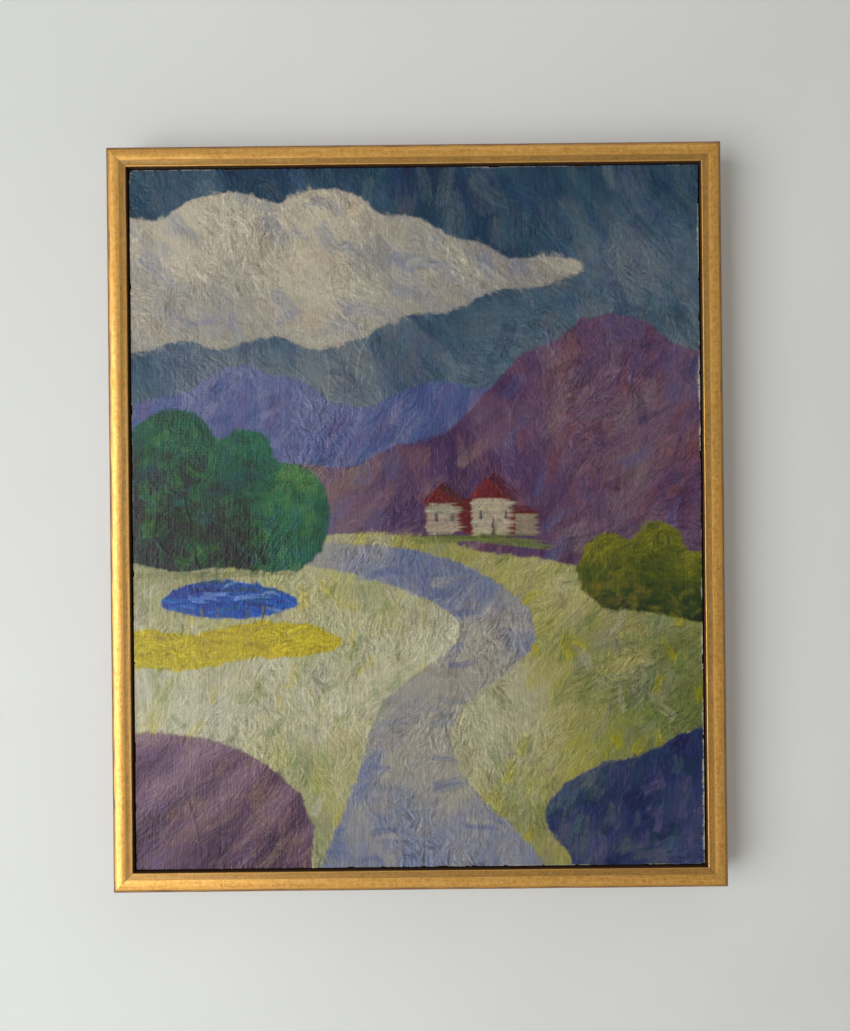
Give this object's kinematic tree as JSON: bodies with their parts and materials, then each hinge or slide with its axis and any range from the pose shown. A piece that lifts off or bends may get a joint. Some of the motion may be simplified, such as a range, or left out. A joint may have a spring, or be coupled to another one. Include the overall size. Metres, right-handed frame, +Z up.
{
  "type": "framed oil painting",
  "caption": "Upright oil painting on stretched linen in a slim gilded float frame, with strap hangers and wall bumpers on its back.",
  "frame": {"origin": "in the wall plane, midway between the points where the two wall hooks bear on the hanging rings", "axes": "+Z up along the picture's height, +Y into the wall, so the painted side faces -Y, and +X to the viewer's right"},
  "size_m": [0.54, 0.04, 0.655],
  "materials": {
    "gilded_moulding": "leaf gilded over bole, satin and rubbed",
    "stretcher_pine": "planed, bare",
    "key_beech": "sawn, bare",
    "primed_linen": "plain woven, primed on the front",
    "zinc_screw": "zinc plated",
    "brassed_hanger": "brass plated",
    "bumper_rubber": "moulded, matt",
    "oil_paint_sky": "brushed oil paint, dry",
    "oil_paint_cloud": "brushed oil paint, dry",
    "oil_paint_far_hills": "brushed oil paint, dry",
    "oil_paint_near_hill": "brushed oil paint, dry",
    "oil_paint_meadow": "brushed oil paint, dry",
    "oil_paint_river": "brushed oil paint, dry",
    "oil_paint_pond": "brushed oil paint, dry",
    "oil_paint_furrows": "brushed oil paint, dry",
    "oil_paint_bank": "brushed oil paint, dry",
    "oil_paint_sunlit_strip": "brushed oil paint, dry",
    "oil_paint_grove": "brushed oil paint, dry",
    "oil_paint_copse": "brushed oil paint, dry",
    "oil_paint_roofs": "brushed oil paint, dry"
  },
  "bodies": {
    "framed_picture": {"frame_rail_top": "gilded_moulding", "stretcher_bar_top": "stretcher_pine", "stretcher_key_top_1": "key_beech", "canvas_screw_top_1": "zinc_screw", "stretcher_key_top_2": "key_beech", "canvas_screw_top_2": "zinc_screw", "frame_rail_right": "gilded_moulding", "stretcher_bar_right": "stretcher_pine", "stretcher_key_right_1": "key_beech", "canvas_screw_right_1": "zinc_screw", "stretcher_key_right_2": "key_beech", "canvas_screw_right_2": "zinc_screw", "frame_rail_bottom": "gilded_moulding", "stretcher_bar_bottom": "stretcher_pine", "stretcher_key_bottom_1": "key_beech", "canvas_screw_bottom_1": "zinc_screw", "stretcher_key_bottom_2": "key_beech", "canvas_screw_bottom_2": "zinc_screw", "frame_rail_left": "gilded_moulding", "stretcher_bar_left": "stretcher_pine", "stretcher_key_left_1": "key_beech", "canvas_screw_left_1": "zinc_screw", "stretcher_key_left_2": "key_beech", "canvas_screw_left_2": "zinc_screw", "linen_canvas": "primed_linen", "paint_sky": "oil_paint_sky", "paint_cloud": "oil_paint_cloud", "paint_far_hills": "oil_paint_far_hills", "paint_near_hill": "oil_paint_near_hill", "paint_meadow_left": "oil_paint_meadow", "paint_meadow_right": "oil_paint_meadow", "paint_river": "oil_paint_river", "paint_pond": "oil_paint_pond", "paint_furrows": "oil_paint_furrows", "paint_bank": "oil_paint_bank", "paint_sunlit_strip": "oil_paint_sunlit_strip", "paint_grove": "oil_paint_grove", "paint_copse": "oil_paint_copse", "paint_roofs": "oil_paint_roofs", "hanger_strap_left": "brassed_hanger", "hanger_screw_left_1": "brassed_hanger", "hanger_screw_left_2": "brassed_hanger", "wall_bumper_left": "bumper_rubber", "hanger_strap_right": "brassed_hanger", "hanger_screw_right_1": "brassed_hanger", "hanger_screw_right_2": "brassed_hanger", "wall_bumper_right": "bumper_rubber"},
    "ring_left": {"hanger_ring_left": "brassed_hanger"},
    "ring_right": {"hanger_ring_right": "brassed_hanger"}
  },
  "joints": [
    {"name": "ring_left_swing", "type": "hinge", "parent": "framed_picture", "child": "ring_left", "pos_m": [-0.259, -0.00325, -0.01571], "axis": [-1, 0, 0], "range_deg": [0, 184]},
    {"name": "ring_right_swing", "type": "hinge", "parent": "framed_picture", "child": "ring_right", "pos_m": [0.259, -0.00325, -0.01571], "axis": [-1, 0, 0], "range_deg": [0, 184]}
  ]
}
